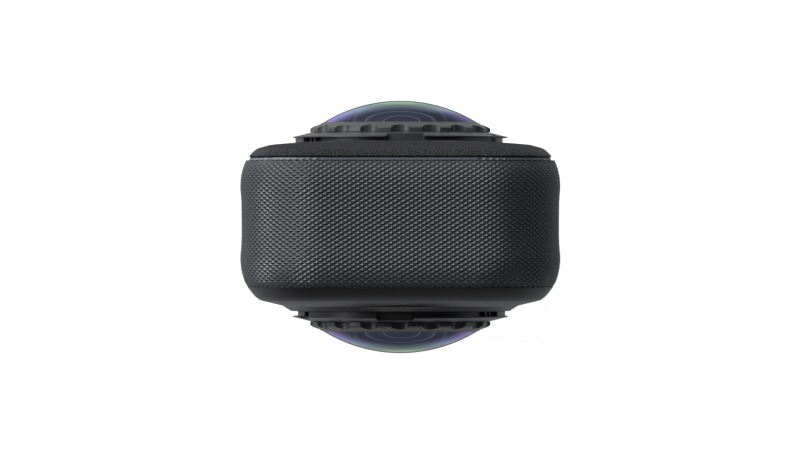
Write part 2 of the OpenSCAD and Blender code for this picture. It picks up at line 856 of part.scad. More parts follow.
// The latch's pocket in the cover, with room for its travel
module latch_space() {
    x0 = body_w / 2 - latch_t - latch_floor;
    block([x0, latch_y - latch_w / 2 - cover_gap, latch_z - cover_gap],
        [body_w / 2 + over, latch_y + latch_w / 2 + cover_gap, latch_z + latch_l + latch_travel + cover_gap]);
}
module battery_latch() color([0.35, 0.35, 0.36]) mirror([1, 0, 0]) difference() {
    x0 = body_w / 2 - latch_t - latch_floor + door_in;
    block([x0, latch_y - latch_w / 2, latch_z], [body_w / 2 - latch_floor - latch_sink,
        latch_y + latch_w / 2, latch_z + latch_l]);
    for (k = [1:latch_ribs])
        translate([body_w / 2 - latch_floor - latch_sink, 0, latch_z + k * latch_l / (latch_ribs + 1)])
            rotate([90, 0, 0]) cylinder(r = latch_sink, h = latch_w + over, center = true);
}

module battery_contacts() color("gold")
    block([bay_end - contact_t, bay_y + bay_gap, contact_z], [bay_end, bay_y + bay_gap + contact_w / 2,
        contact_z + contact_w]);

module card_socket() color("silver") difference() {
    block([socket_x, bay_y, socket_z], [socket_x + socket_l, bay_y + socket_t, socket_z + socket_w]);
    block([socket_x - over, card_y() - card_gap, socket_z + (socket_w - card_w) / 2 - card_gap],
        [socket_x + card_l - card_out + card_gap, card_y() + card_t + card_gap,
            socket_z + (socket_w + card_w) / 2 + card_gap]);
}

function card_y() = bay_y + (socket_t - card_t) / 2;

module memory_card() color([0.1, 0.1, 0.12])
    block([socket_x - card_out, card_y(), socket_z + (socket_w - card_w) / 2],
        [socket_x - card_out + card_l, card_y() + card_t, socket_z + (socket_w + card_w) / 2]);

module usb_door() color([0.3, 0.3, 0.31]) difference() {
    union() {
        intersection() {
            side_strip(hinge_z, hinge_z + door_l);
            block([frame_hw + door_in, door_y - door_w / 2, hinge_z],
                [body_w / 2 + over, door_y + door_w / 2, hinge_z + door_l]);
        }
        translate([frame_hw + hinge_in, door_y - door_w / 2, hinge_z]) rotate([-90, 0, 0])
            cylinder(r = knuckle_r, h = door_w);
    }
    translate([frame_hw + hinge_in, door_y - door_w / 2 - over, hinge_z]) rotate([-90, 0, 0])
        cylinder(r = pin_r + pin_gap, h = door_w + 2 * over);
}

module usb_door_pin() color("silver") door_pin();

module usb_door_seal() color([0.08, 0.08, 0.09])
    block([frame_hw + door_in - door_seal_t, door_y - door_seal_w / 2, port_z - door_seal_l / 2],
        [frame_hw + door_in, door_y + door_seal_w / 2, port_z + door_seal_l / 2]);

module usb_port() color("silver") difference() {
    x1 = frame_hw - door_seal_t - door_gap;
    side_slot(door_y, port_z, port_w, port_h, x1 - port_l, x1);
    difference() {
        side_slot(door_y, port_z, port_w - 2 * port_wall, port_h - 2 * port_wall,
            x1 - port_l + port_wall, x1 + over);
        block([x1 - port_l, door_y - port_wall, port_z - port_h / 3], [x1 - port_wall, door_y + port_wall,
            port_z + port_h / 3]);
    }
}

module usb_board() color("darkgreen")
    block([bay_end + bay_wall + door_in, usb_board_y(), port_z - usb_board_h / 2],
        [inner_hw - door_in, usb_board_y() + usb_board_t, port_z + usb_board_h / 2]);

module side_button(z) color([0.3, 0.3, 0.31]) {
    intersection() {
        side_strip(z - side_button_l, z + side_button_l);
        side_slot(side_y, z, side_button_w, side_button_l, frame_hw, body_w / 2 - cap_sink);
    }
    side_slot(side_y, z, side_button_w, side_button_l, inner_hw - flange_gap, frame_hw);
    side_slot(side_y, z, side_button_w + 2 * flange_w, side_button_l + 2 * flange_w,
        inner_hw - flange_gap - flange_t, inner_hw - flange_gap);
}

module power_button() side_button(power_z);
module quick_button() side_button(quick_z);

module rear_button(x, r) {
    disc(x, rear_button_z, r, rear_face - rear_button_out, rear_in + flange_gap);
    disc(x, rear_button_z, r + flange_w, rear_in + flange_gap, rear_in + flange_gap + rear_flange_t);
}

module shutter_button() color([0.3, 0.3, 0.31]) rear_button(shutter_x, shutter_r);
module menu_button() color([0.3, 0.3, 0.31]) rear_button(menu_x, menu_r);

module side_button_board() color("darkgreen")
    block([switch_x - side_board_t, bay_y, side_board_z],
        [switch_x, bay_y + side_board_w, side_board_z + side_board_h]);

module button_switches() color("silver") {
    for (z = [power_z, quick_z])
        block([switch_x, side_y - switch_w / 2, z - switch_w / 2],
            [switch_x + switch_t, side_y + switch_w / 2, z + switch_w / 2]);
    for (x = [shutter_x, menu_x])
        block([x - switch_w / 2, board_y - rear_switch_t, rear_button_z - switch_w / 2],
            [x + switch_w / 2, board_y, rear_button_z + switch_w / 2]);
}
module base_plate() color([0.15, 0.15, 0.16]) difference() {
    linear_extrude(band_wall) soft_square(base_w, base_d, base_r);
    translate([0, 0, -over]) cylinder(r = bush_r, h = band_wall + 2 * over);
}

module tripod_bush() color("silver") difference() {
    cylinder(r = bush_r, h = bush_h);
    translate([0, 0, -over]) cylinder(r = thread_r, h = thread_l + over);
}

module speaker() color([0.1, 0.1, 0.1])
    block([-inner_hw, -speaker_w / 2, speaker_z],
        [-inner_hw + speaker_t, speaker_w / 2, speaker_z + speaker_h]);

module microphones() color("silver") for (i = [0, 1]) mirror([i, 0, 0])
    block([inner_hw - mic_t, side_y - mic_w / 2, mic_zs[i] - mic_h / 2],
        [inner_hw, side_y + mic_w / 2, mic_zs[i] + mic_h / 2]);

module status_lights() color("white") {
    disc(0, light_z, light_r, bay_front + bay_wall, band_front + front_cover_h - cap_sink);
    disc(0, rear_light_z, light_r, rear_face + cap_sink, board_y);
}

module antenna() color("gold")
    block([-antenna_l / 2, bulkhead_t / 2, frame_roof - antenna_t],
        [antenna_l / 2, bulkhead_t / 2 + antenna_w / 2, frame_roof]);

centre_frame();
grip_band();
front_cover();
rear_cover();
front_cover_seal();
rear_cover_seal();
front_lens_mount();
rear_lens_mount();
front_lens_ring();
rear_lens_ring();
front_dome();
rear_dome();
front_lens_seal();
rear_lens_seal();
front_lens_barrel();
rear_lens_barrel();
front_lens_elements();
rear_lens_elements();
front_mount_screws();
rear_mount_screws();
front_image_sensor();
rear_image_sensor();
front_sensor_board();
rear_sensor_board();
lens_bulkhead();
sensor_flexes();
screen_glass();
display_panel();
display_backing();
display_flex();
shield_can();
main_board();
processor_chip();
memory_chips();
heat_spreader();
board_screws();
battery_pack();
battery_cover();
battery_cover_seal();
battery_latch();
battery_contacts();
card_socket();
memory_card();
usb_door();
usb_door_pin();
usb_door_seal();
usb_port();
usb_board();
power_button();
quick_button();
shutter_button();
menu_button();
side_button_board();
button_switches();
base_plate();
tripod_bush();
speaker();
microphones();
status_lights();
antenna();
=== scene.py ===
"""A pocket 360 degree camera: knurled grip band, grained cover and a coated dome lens on each side."""
import math
from contextlib import contextmanager

import bpy
from bpy.props import FloatProperty, FloatVectorProperty, IntProperty, PointerProperty
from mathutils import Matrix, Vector


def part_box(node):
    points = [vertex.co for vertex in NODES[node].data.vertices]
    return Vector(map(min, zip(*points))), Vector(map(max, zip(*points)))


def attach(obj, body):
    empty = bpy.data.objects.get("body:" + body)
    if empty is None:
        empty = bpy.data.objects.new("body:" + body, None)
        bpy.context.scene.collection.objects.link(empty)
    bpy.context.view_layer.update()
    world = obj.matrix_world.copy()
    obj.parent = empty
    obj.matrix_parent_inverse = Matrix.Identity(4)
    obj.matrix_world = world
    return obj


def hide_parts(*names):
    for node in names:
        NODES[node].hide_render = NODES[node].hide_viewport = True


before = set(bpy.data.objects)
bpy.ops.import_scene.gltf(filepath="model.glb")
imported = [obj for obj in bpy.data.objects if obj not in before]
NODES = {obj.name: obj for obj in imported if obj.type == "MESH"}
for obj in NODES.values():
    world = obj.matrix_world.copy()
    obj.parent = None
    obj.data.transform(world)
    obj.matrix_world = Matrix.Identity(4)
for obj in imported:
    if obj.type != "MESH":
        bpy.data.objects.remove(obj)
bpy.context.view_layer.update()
MM = 0.001
WELD = 0.0005 * MM
TOUCH = 0.001 * MM
CUT = 0.0001 * MM
BAND_CORNER = 12 * MM
SOFT_ANGLE = math.radians(32)
DOME_ANGLE = math.radians(40)
FEWEST_FACES = 100

bl_info = {
    "name": "Pocket 360 Camera",
    "version": (1, 0, 0),
    "blender": (4, 5, 0),
    "location": "View3D > Sidebar > 360 Camera",
    "description": "Adds the knurled band, the lens glass and every finish of a pocket 360 degree camera",
    "category": "Object",
}


class KnurlSizes(bpy.types.PropertyGroup):
    """Sizes of the grip band's pattern of small pyramids"""
    pitch: FloatProperty(
        name="Pitch", description="Length of one pyramid, along the band",
        default=1.175 * MM, unit="LENGTH", precision=6)
    rise: FloatProperty(
        name="Width", description="Width of one pyramid, across the band",
        default=0.694 * MM, unit="LENGTH", precision=6)
    depth: FloatProperty(
        name="Depth", description="Height of a pyramid above the grooves round it",
        default=0.16 * MM, unit="LENGTH", precision=6)
    inset: FloatProperty(
        name="Inset", description="How far the pyramids' tips lie inside the band's outline",
        default=0.03 * MM, unit="LENGTH", precision=6)
    rim: FloatProperty(
        name="Rim", description="Width of the smooth rim along the band's front edge",
        default=0.41 * MM, unit="LENGTH", precision=6)


class LensSizes(bpy.types.PropertyGroup):
    """Sizes of the domes and of the front element under each"""
    segments: IntProperty(
        name="Segments", description="Faces round a dome", default=128, min=32)
    dome_radius: FloatProperty(
        name="Dome radius", description="Radius of the dome's outer sphere",
        default=21.2 * MM, unit="LENGTH", precision=6)
    dome_wall: FloatProperty(
        name="Dome wall", description="Thickness of the dome",
        default=1.0 * MM, unit="LENGTH", precision=6)


class Colours(bpy.types.PropertyGroup):
    """Colours of the outer parts"""
    band: FloatVectorProperty(
        name="Band", description="Colour of the knurled band", subtype="COLOR",
        default=(0.029, 0.0305, 0.036))
    front: FloatVectorProperty(
        name="Front cover", description="Colour of the grained front cover", subtype="COLOR",
        default=(0.0085, 0.009, 0.012))
    rear: FloatVectorProperty(
        name="Rear cover", description="Colour of the smooth rear cover", subtype="COLOR",
        default=(0.007, 0.007, 0.0085))
    mount: FloatVectorProperty(
        name="Lens mount", description="Colour of the lens mounts", subtype="COLOR",
        default=(0.034, 0.035, 0.038))
    ring: FloatVectorProperty(
        name="Twist ring", description="Colour of the twist rings", subtype="COLOR",
        default=(0.037, 0.038, 0.042))
    # The coating colours stand for the coating's reflections, painted into the domes' colour and glow
    crown_reflection: FloatVectorProperty(
        name="Coating, crown", description="Tint of the coating at a dome's crown", subtype="COLOR",
        default=(0.46, 0.60, 0.46))
    rim_reflection: FloatVectorProperty(
        name="Coating, rim", description="Tint of the coating near a dome's rim", subtype="COLOR",
        default=(0.30, 0.21, 0.50))


class StageSizes(bpy.types.PropertyGroup):
    """The floor, the camera and the lights"""
    floor: FloatProperty(
        name="Floor", description="Side of the floor", default=60.0, unit="LENGTH")
    camera_height: FloatProperty(
        name="Camera height", description="Height of the camera above the floor",
        default=1.014, unit="LENGTH")
    lens: FloatProperty(
        name="Lens", description="Focal length on a 36 mm wide sensor, in millimetres", default=286.5)
    key: FloatProperty(
        name="Key light", description="Power of the key light, in watts", default=14.4)


# Each light: its name, place, width and share of the key light's power
LIGHTS = (
    ("key", (-0.44, 0.82, 0.58), 1.10, 1.0),
    ("left", (-0.86, 0.12, 0.46), 0.40, 0.12),
    ("upper left", (-0.80, 0.42, 0.50), 0.50, 0.36),
    ("screen side", (0.30, -1.30, 0.14), 0.60, 0.04),
    ("right rim", (0.95, 0.10, 0.12), 0.30, 0.02),
)
LIT_POINT = (0, 0, 0.08)
CAMERA_PLACE = (-0.00004, 0.000277)


class Wire:
    """A shader socket. Arithmetic on it adds Math nodes"""

    def __init__(self, finish, socket):
        self.finish = finish
        self.socket = socket

    def _join(self, operation, *values, clamp=False):
        return self.finish.node("ShaderNodeMath", {"operation": operation, "use_clamp": clamp}, values)

    def __add__(self, other):
        return self._join("ADD", self, other)

    def __radd__(self, other):
        return self._join("ADD", other, self)

    def __sub__(self, other):
        return self._join("SUBTRACT", self, other)

    def __rsub__(self, other):
        return self._join("SUBTRACT", other, self)

    def __mul__(self, other):
        return self._join("MULTIPLY", self, other)

    def __truediv__(self, other):
        return self._join("DIVIDE", self, other)

    def __pow__(self, other):
        return self._join("POWER", self, other)

    def __abs__(self):
        return self._join("ABSOLUTE", self)

    def sine(self):
        return self._join("SINE", self)

    def root(self):
        return self._join("SQRT", self)

    def clamped(self):
        return self._join("ADD", self, 0.0, clamp=True)

    def ramp(self, low, high):
        """0 below low, 1 above high and smooth between them"""
        return self.finish.node(
            "ShaderNodeMapRange", {"interpolation_type": "SMOOTHSTEP"}, (self, low, high, 0.0, 1.0))


class Finish:
    """A material on one Principled shader, which its methods build up"""

    def __init__(self, name, **constants):
        self.material = bpy.data.materials.new(name)
        self.material.use_nodes = True
        self.tree = self.material.node_tree
        self.tree.nodes.clear()
        output = self.tree.nodes.new("ShaderNodeOutputMaterial")
        self.shader = self.tree.nodes.new("ShaderNodeBsdfPrincipled")
        self.tree.links.new(self.shader.outputs[0], output.inputs[0])
        for socket, value in constants.items():
            self.shader.inputs[socket.replace("_", " ").title().replace("Ior", "IOR")].default_value = value
        self._place = None

    def node(self, kind, settings=None, values=(), out=0):
        """Adds a node of a kind, sets it up, fills its sockets and returns one output"""
        made = self.tree.nodes.new(kind)
        for name, value in (settings or {}).items():
            if name == "stops":
                ramp = made.color_ramp
                for at, colour in value[1:-1]:
                    ramp.elements.new(at).color = (*colour, 1.0)
                for element, (at, colour) in ((ramp.elements[0], value[0]), (ramp.elements[-1], value[-1])):
                    element.position = at
                    element.color = (*colour, 1.0)
            else:
                setattr(made, name, value)
        pairs = values.items() if isinstance(values, dict) else enumerate(values)
        for key, value in pairs:
            if isinstance(value, Wire):
                self.tree.links.new(value.socket, made.inputs[key])
            elif value is not None:
                made.inputs[key].default_value = value
        return Wire(self, made.outputs[out])

    def place(self):
        """Where a point is on the object, in millimetres"""
        if self._place is None:
            metres = self.node("ShaderNodeTexCoord", out=3)
            self._place = self.node(
                "ShaderNodeVectorMath", {"operation": "SCALE"}, {0: metres, "Scale": 1000.0})
        return self._place

    def axes(self):
        """Where a point is across the camera, from screen to front cover and up, in millimetres"""
        split = self.node("ShaderNodeSeparateXYZ", values=(self.place(),)).socket.node
        return [Wire(self, output) for output in split.outputs]

    def off_axis(self, lens_z):
        """How far a point is from the axis of the lenses, in millimetres"""
        across, _, up = self.axes()
        up = up - lens_z
        return (across * across + up * up).root()

    def noise(self, size, detail=2.0, roughness=0.5, stretch=None):
        """Soft noise with lumps of a size in millimetres, between 0 and 1"""
        where = self.place()
        if stretch:
            where = self.node("ShaderNodeVectorMath", {"operation": "MULTIPLY"}, (where, stretch))
        return self.node("ShaderNodeTexNoise", values={
            "Vector": where, "Scale": 1.0 / size, "Detail": detail, "Roughness": roughness})

    def cells(self, size, feature="SMOOTH_F1", smooth=0.4):
        """Distance to the middle of cells of a size in millimetres"""
        values = {"Vector": self.place(), "Scale": 1.0 / size}
        if feature == "SMOOTH_F1":
            values["Smoothness"] = smooth
        return self.node("ShaderNodeTexVoronoi", {"feature": feature}, values)

    def mix(self, amount, low, high):
        """A colour between two colours, each a triple or a wire"""
        colours = [c if isinstance(c, Wire) else (*c, 1.0) for c in (low, high)]
        return self.node(
            "ShaderNodeMix", {"data_type": "RGBA"}, {0: amount, 6: colours[0], 7: colours[1]}, out=2)

    def ramp(self, amount, stops):
        """A colour from a list of (place, colour) stops"""
        made = self.node("ShaderNodeValToRGB", {"stops": stops}, (amount,))
        made.socket.node.color_ramp.interpolation = "EASE"
        return made

    def bump(self, wire, height):
        """Bumps of a height in millimetres where the wire goes from 0 to 1"""
        self.feed(normal=self.node("ShaderNodeBump", values={
            "Strength": 1.0, "Distance": height * MM, "Height": wire}))
        return self

    def feed(self, **wires):
        """Joins wires to the shader's sockets"""
        for socket, wire in wires.items():
            self.tree.links.new(wire.socket, self.shader.inputs[socket.replace("_", " ").title()])


def shade(colour, amount):
    """A colour made lighter or darker"""
    return tuple(min(1.0, c * amount) for c in colour)


def knurl_finish(colour, brim, rim):
    """Moulded grip band: a fine sandy skin with a soft sheen, painted light on the rows near its front edge,
    a front rim painted paler as if lit, and a painted shade line over that rim
    """
    f = Finish("knurled band", specular_ior_level=0.5)
    below = brim - f.axes()[1]
    # Painted shade: a near-black line along the band's front edge, where the gap under the front cover lies
    shade_line = below.ramp(0.05, 0.13)
    patches = f.noise(size=6.0, detail=3.0)
    sand = f.noise(size=0.06, roughness=0.6)
    # Painted light: the rows near the front edge are painted lighter, as if lit from above them
    painted_light = 1 - below.ramp(rim, rim + 3.0)
    tone_and_painted_light = (patches - 0.5) * 0.35 + sand * 0.4 + painted_light * 0.7
    # Painted light: the smooth front rim is painted 3.6 times lighter than the band, as if lit
    lit_strip = 1 - below.ramp(rim - 0.06, rim)
    skin = f.mix(lit_strip, f.mix(tone_and_painted_light.clamped(), shade(colour, 0.82), shade(colour, 1.4)), shade(colour, 3.6))
    f.feed(base_color=f.mix(shade_line, (0.001, 0.001, 0.001), skin),
           roughness=0.34 + sand * 0.06 + (1 - shade_line) * 0.5)
    return f.bump(sand, height=0.001).material


def grain_finish(colour, foot):
    """Front cover: a pebbled leather grain with painted glints on its lump tops near the band, and a painted
    shade line where it meets the band
    """
    f = Finish("leather grain", specular_ior_level=0.30)
    above = f.axes()[1] - foot
    pebble = f.cells(size=0.27, smooth=0.15)
    fine = f.cells(size=0.15, smooth=0.1)
    wrinkle = f.noise(size=0.6, detail=3.0, roughness=0.6)
    # The grain, its painted glints and its gloss are strongest near the band and fade towards the lens
    grain_and_glints_near_band = 1 - above.ramp(0.9, 1.7) * 0.85
    lumps = (1 - (pebble * 0.75 + fine * 0.4 + (wrinkle - 0.5) * 0.4)) * grain_and_glints_near_band
    # Painted shade: a near-black line along the cover's foot, where it meets the band
    shade_line = above.ramp(0.02, 0.12)
    # Painted glints and shade: the lump tops are painted up to three times lighter than the cover, and the
    # hollows half as light
    skin = f.mix(lumps.ramp(0.15, 0.95), shade(colour, 0.5), shade(colour, 3.0))
    f.feed(base_color=f.mix(shade_line, (0.001, 0.001, 0.001), skin),
           roughness=0.80 - grain_and_glints_near_band * 0.32 - lumps.ramp(0.2, 0.8) * 0.20 + (1 - shade_line) * 0.3)
    return f.bump(lumps, height=0.36).material


def satin_finish(name, colour, grain=0.11, depth=0.006, roughness=0.36, spread=0.12):
    """Painted or moulded part with a fine even grain"""
    f = Finish(name, specular_ior_level=0.5)
    sand = f.noise(size=grain, roughness=0.6)
    cloud = f.noise(size=5.0)
    f.feed(base_color=f.mix(sand * 0.6 + (cloud - 0.3) * 0.4, shade(colour, 0.85), shade(colour, 1.25)),
           roughness=roughness + (sand - 0.5) * spread)
    return f.bump(sand, height=depth).material


def rubber_finish():
    """Seals: matt, faintly mottled"""
    f = Finish("seal rubber", roughness=0.8, specular_ior_level=0.3)
    mottle = f.noise(size=0.5, detail=4.0, roughness=0.65)
    f.feed(base_color=f.mix(mottle, (0.012, 0.012, 0.012), (0.035, 0.035, 0.036)))
    return f.bump(mottle, height=0.02).material


def dome_finish(colours, apex, rim):
    """Coated dome: the coating's reflections painted in and glowing, green at the crown, blue below it and
    violet at the rim, with painted reflection arcs, a painted dark edge, a painted shadow on one side, and
    clear to look straight into
    """
    f = Finish("coated dome", roughness=0.3, specular_ior_level=0.0, coat_ior=1.2, coat_roughness=0.02,
               emission_strength=0.8)
    across, depth, _ = f.axes()
    over_rim = abs(depth) - rim
    height = (over_rim / (apex - rim)).clamped()
    streak = f.noise(size=2.2, stretch=(0.25, 1.0, 0.25))
    level = (height + (streak - 0.5) * 0.08).clamped()
    facing = f.node("ShaderNodeLayerWeight", values={"Blend": 0.5}, out=1)
    # Painted reflections of the coating: violet at the rim, blue above it and green at the crown
    glow = f.ramp(level, [
        (0.0, colours.rim_reflection), (0.20, (0.255, 0.25, 0.56)), (0.58, (0.28, 0.345, 0.45)),
        (0.70, (0.225, 0.31, 0.35)), (0.78, (0.22, 0.31, 0.27)), (0.86, (0.29, 0.43, 0.32)),
        (0.96, colours.crown_reflection)])
    deep = f.ramp(level, [
        (0.0, (0.028, 0.031, 0.052)), (0.45, (0.024, 0.031, 0.052)), (0.75, (0.024, 0.032, 0.045)),
        (1.0, (0.10, 0.14, 0.11))])
    shadow = across.ramp(1.0, 6.0) * depth.ramp(0.0, 1.0) * (1 - level.ramp(0.3, 0.6)) * 0.45
    tint_and_reflections = f.mix(shadow, f.mix(facing.ramp(0.62, 0.88), deep, glow), (0.008, 0.010, 0.018))
    marks = 0.0
    # Each painted reflection arc: its middle, half its width, its height over the rim, its thickness as a
    # share and its strength
    for middle, wide, tall, width, power in (
            (0.0, 5.0, 1.50, 0.020, 0.40), (0.0, 4.7, 1.34, 0.016, 0.15), (0.2, 2.6, 0.84, 0.030, 0.45),
            (0.5, 3.7, 1.02, 0.015, 0.15), (0.0, 6.6, 3.2, 0.012, 0.22), (0.0, 6.3, 3.2, 0.008, 0.14)):
        arc = (((across - middle) / wide) ** 2 + (over_rim / tall) ** 2).root()
        marks = (1 - (abs(arc - 1) / width).ramp(0.0, 1.0)) * power + marks
    # Painted reflections: the arcs are broken up by streaks and painted pale blue over the dome's colour
    broken = marks * (streak * 1.6).clamped() * facing.ramp(0.36, 0.48) * (1 - facing.ramp(0.74, 0.80))
    lined = f.mix(broken.clamped(), tint_and_reflections, (0.44, 0.51, 0.66))
    # A painted dark edge along the dome's silhouette, for the dark inside seen through the glass's edge
    outline = f.mix(facing.ramp(0.86, 0.905), lined, (0.030, 0.037, 0.034))
    dark = (0.0, 0.0, 0.0)
    # The dome's painted colours glow where it is seen at a slant, though the dome is no lamp
    f.feed(base_color=f.mix(0.75, outline, dark),
           emission_color=f.mix(facing.ramp(0.35, 0.50), dark, outline),
           alpha=0.14 + facing.ramp(0.30, 0.62) * 0.86, coat_weight=1 - facing.ramp(0.35, 0.60) * 0.8)
    return f.material


def element_finish(lens_z):
    """Front element: black glass with thin light rings painted in, as reflections of the edges inside it"""
    f = Finish("front element", roughness=0.02, coat_weight=1.0, coat_roughness=0.01, specular_ior_level=0.6)
    radius = f.off_axis(lens_z)
    haze = f.noise(size=3.0)
    base = f.ramp((radius / 10.0 + (haze - 0.5) * 0.04).clamped(), [
        (0.0, (0.002, 0.003, 0.006)), (0.30, (0.004, 0.006, 0.014)), (0.45, (0.012, 0.016, 0.040)),
        (0.60, (0.006, 0.006, 0.012)), (0.80, (0.014, 0.016, 0.040)), (1.0, (0.008, 0.008, 0.012))])
    marks = 0.0
    # Each painted reflection ring: its radius, its half width and its strength
    for at, width, power in (
            (1.7, 0.06, 0.5), (2.6, 0.05, 0.4), (4.1, 0.07, 0.3), (5.9, 0.05, 0.4), (7.7, 0.06, 0.5)):
        marks = (1 - (abs(radius - at) / width).ramp(0.0, 1.0)) * power + marks
    f.feed(base_color=f.mix((marks * (0.4 + haze)).clamped(), base, (0.20, 0.23, 0.32)))
    return f.material


def groove_finish(lens_z):
    """Lens barrel: matt black with fine baffle grooves round the axis, and painted shade darkening the
    grooves
    """
    f = Finish("lens barrel", roughness=0.62, specular_ior_level=0.35)
    wave = (f.off_axis(lens_z) * 14.0 + f.axes()[1] * 9.0).sine() * 0.5 + 0.5
    # Painted shade: the grooves are painted darker than the ridges between them
    f.feed(base_color=f.mix(wave, (0.008, 0.008, 0.009), (0.026, 0.026, 0.028)))
    return f.bump(wave, height=0.05).material


def steel_finish(name, colour, brush, roughness=0.28):
    """Turned or brushed metal, with its marks along one axis"""
    f = Finish(name, metallic=1.0)
    marks = f.noise(size=0.12, roughness=0.6, stretch=brush)
    stain = f.noise(size=2.0)
    f.feed(base_color=f.mix(marks * 0.7 + stain * 0.3, shade(colour, 0.72), shade(colour, 1.12)),
           roughness=roughness + marks * 0.18)
    return f.bump(marks, height=0.004).material


def thread_finish():
    """Tripod bush: turned steel with the thread's ridges, and painted shade darkening the grooves between
    them
    """
    f = Finish("tripod thread", metallic=1.0)
    across, depth, up = f.axes()
    turn = f.node("ShaderNodeMath", {"operation": "ARCTAN2"}, (depth, across))
    ridge = ((up / 1.27) * (2 * math.pi) + turn).sine() * 0.5 + 0.5
    marks = f.noise(size=0.1, stretch=(1.0, 1.0, 6.0))
    # Painted shade: the thread's grooves are painted darker than its ridges
    f.feed(base_color=f.mix(ridge * 0.7 + marks * 0.3, (0.20, 0.20, 0.21), (0.62, 0.62, 0.63)),
           roughness=0.25 + marks * 0.2)
    return f.bump(ridge, height=0.25).material


def board_finish():
    """Circuit board: green mask over copper tracks, with tinned pads"""
    f = Finish("circuit board", coat_weight=0.4, coat_roughness=0.2)
    cells = f.cells(size=0.9, feature="F1")
    tracks = f.node("ShaderNodeTexBrick", {"offset": 0.37}, {
        "Vector": f.place(), "Scale": 0.55, "Mortar Size": 0.03, "Mortar Smooth": 0.3,
        "Brick Width": 0.9, "Row Height": 0.22}, out=1)
    pads = 1 - cells.ramp(0.16, 0.2)
    green = f.mix(tracks, (0.004, 0.045, 0.020), (0.012, 0.105, 0.045))
    f.feed(base_color=f.mix(pads, green, (0.55, 0.54, 0.50)),
           roughness=0.35 - pads * 0.1, metallic=pads * 0.8)
    return f.bump(tracks + pads, height=0.02).material


def flex_finish():
    """Flexible circuits: amber film with fine copper lines"""
    f = Finish("flex circuit", roughness=0.35, coat_weight=0.3)
    across, _, up = f.axes()
    lines = ((across + up * 0.15) * 11.0).sine().ramp(0.2, 0.6)
    dust = f.noise(size=1.5, detail=3.0)
    f.feed(base_color=f.mix(lines * (0.6 + dust * 0.4), (0.30, 0.10, 0.012), (0.62, 0.30, 0.07)))
    return f.bump(lines, height=0.02).material


def screen_finish(name, colour):
    """Polished cover glass, with the faintest smears"""
    f = Finish(name, coat_weight=1.0, coat_roughness=0.01, specular_ior_level=0.6)
    smear = f.noise(size=9.0, detail=3.0, roughness=0.55, stretch=(1.0, 1.0, 0.4))
    f.feed(base_color=f.mix(smear, shade(colour, 0.7), shade(colour, 1.5)),
           roughness=0.02 + smear.ramp(0.5, 0.8) * 0.06)
    return f.material


def display_finish(low, high, border):
    """Screen under its cover glass: a black border round a faintly paler field of fine pixels"""
    f = Finish("screen glass", coat_weight=1.0, coat_roughness=0.01, specular_ior_level=0.6)
    across, _, up = f.axes()
    inside = 1.0
    for along, start, end in ((across, low.x / MM, high.x / MM), (up, low.z / MM, high.z / MM)):
        inside = ((end - start) / 2 - abs(along - (start + end) / 2)).ramp(border, border + 0.1) * inside
    pixels = ((across * 36.0).sine() * (up * 36.0).sine()) * 0.5 + 0.5
    smear = f.noise(size=9.0, detail=3.0, roughness=0.55, stretch=(1.0, 1.0, 0.4))
    field = f.mix(pixels, (0.012, 0.0125, 0.017), (0.024, 0.025, 0.033))
    f.feed(base_color=f.mix(inside, (0.0015, 0.0015, 0.002), field),
           roughness=0.02 + smear.ramp(0.5, 0.8) * 0.06)
    return f.material


def sensor_finish():
    """Image sensor: iridescent pixel field"""
    f = Finish("image sensor", coat_weight=1.0)
    across, _, up = f.axes()
    band = ((across + up) * 0.9).sine() * 0.5 + 0.5
    grid = (across * 40.0).sine() * (up * 40.0).sine() * 0.5 + 0.5
    stops = [(0.0, (0.02, 0.05, 0.10)), (0.5, (0.08, 0.03, 0.12)), (1.0, (0.03, 0.09, 0.06))]
    f.feed(base_color=f.ramp(band, stops),
           roughness=0.12 + grid * 0.1)
    return f.material


def battery_finish():
    """Battery case: moulded grey plastic with a fine spark texture"""
    return satin_finish("battery case", (0.075, 0.075, 0.08), grain=0.25, depth=0.02, roughness=0.5)


def chip_finish():
    """Chips: moulded black epoxy"""
    return satin_finish("chip epoxy", (0.02, 0.02, 0.021), grain=0.18, depth=0.01, roughness=0.55)


def light_finish():
    """Status lights: clear plastic over a dim lamp"""
    f = Finish("light pipe", roughness=0.2, coat_weight=1.0, emission_strength=0.06)
    glow = f.noise(size=0.6, detail=1.0)
    f.feed(base_color=f.mix(glow, (0.55, 0.58, 0.60), (0.75, 0.77, 0.80)),
           emission_color=f.mix(glow, (0.5, 0.65, 0.7), (0.8, 0.95, 1.0)))
    return f.material


def clear_selection():
    """Deselects everything, which an operator would otherwise act on"""
    if bpy.context.mode != "OBJECT":
        bpy.ops.object.mode_set(mode="OBJECT")
    bpy.ops.object.select_all(action="DESELECT")


def pick(piece):
    """Makes one object the selected and active one"""
    clear_selection()
    piece.select_set(True)
    bpy.context.view_layer.objects.active = piece


@contextmanager
def editing(piece, everything=True):
    """Edit mode on a piece, with everything in it selected unless the selection is to stay as it is"""
    pick(piece)
    bpy.ops.object.mode_set(mode="EDIT")
    if everything:
        bpy.ops.mesh.select_all(action="SELECT")
    yield
    bpy.ops.object.mode_set(mode="OBJECT")


def pick_edges(piece, test):
    """Selects only the edges of a piece whose two ends pass a test of their place"""
    with editing(piece):
        bpy.ops.mesh.select_mode(type="EDGE")
        bpy.ops.mesh.select_all(action="DESELECT")
    for edge in piece.data.edges:
        edge.select = all(test(piece.data.vertices[i].co) for i in edge.vertices)


def apply(piece, kind, **settings):
    """Adds a modifier to a piece, sets it up and applies it"""
    pick(piece)
    modifier = piece.modifiers.new(kind.title(), kind)
    for name, value in settings.items():
        setattr(modifier, name, value)
    bpy.ops.object.modifier_apply(modifier=modifier.name)


